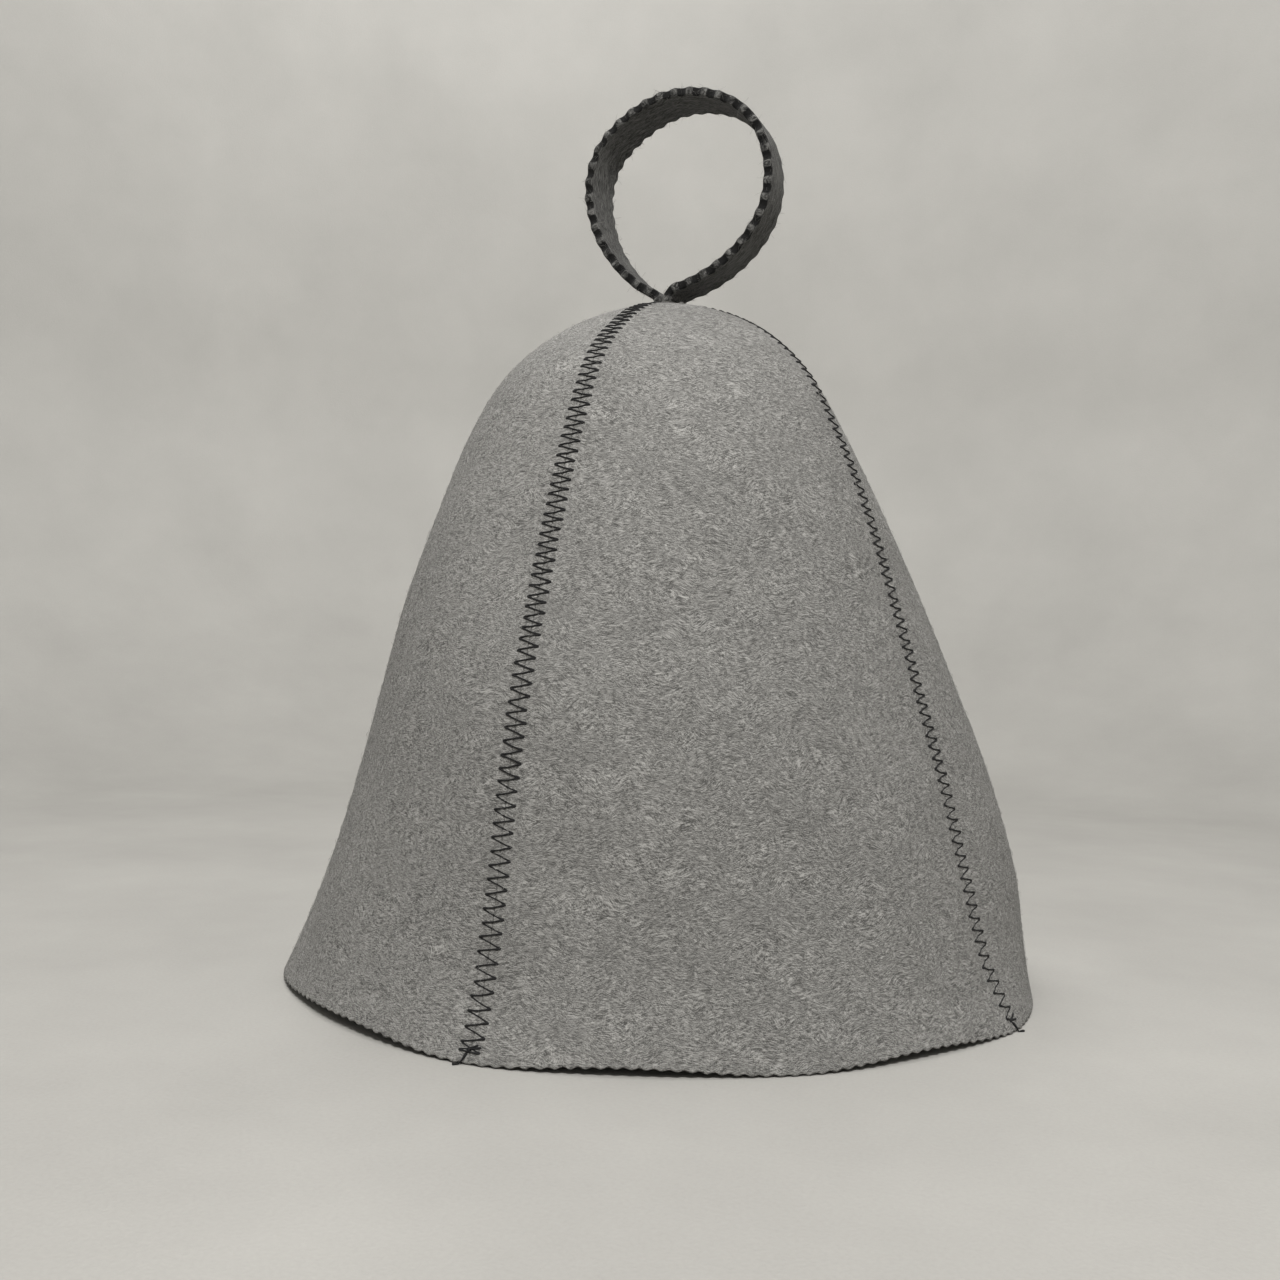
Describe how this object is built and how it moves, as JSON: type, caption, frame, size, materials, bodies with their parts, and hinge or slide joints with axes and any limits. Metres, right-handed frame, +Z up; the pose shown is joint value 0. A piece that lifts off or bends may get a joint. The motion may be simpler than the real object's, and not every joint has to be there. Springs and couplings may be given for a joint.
{
  "type": "felt sauna hat",
  "caption": "Bell-shaped felt hat sewn from curved gores with open hem and a felt strap loop at the crown for hanging it up",
  "frame": {"origin": "middle of the hem's bounding box, on the surface the hat stands on", "axes": "+Z up through the crown, -Y towards the front seam, +X to the right seen from the front, so the ring of the loop is seen face on from -Y"},
  "size_m": [0.2474, 0.2398, 0.2956],
  "materials": {
    "felt": "dense grey pressed felt, matt, with short loose fibres",
    "loop_felt": "the same grey pressed felt cut as a strap with dark cut edges",
    "thread": "charcoal sewing thread, matt"
  },
  "bodies": {
    "root": {"panel_front_right": "felt", "panel_back_right": "felt", "panel_back_left": "felt", "panel_front_left": "felt", "hanging_loop": "loop_felt"}
  },
  "joints": []
}
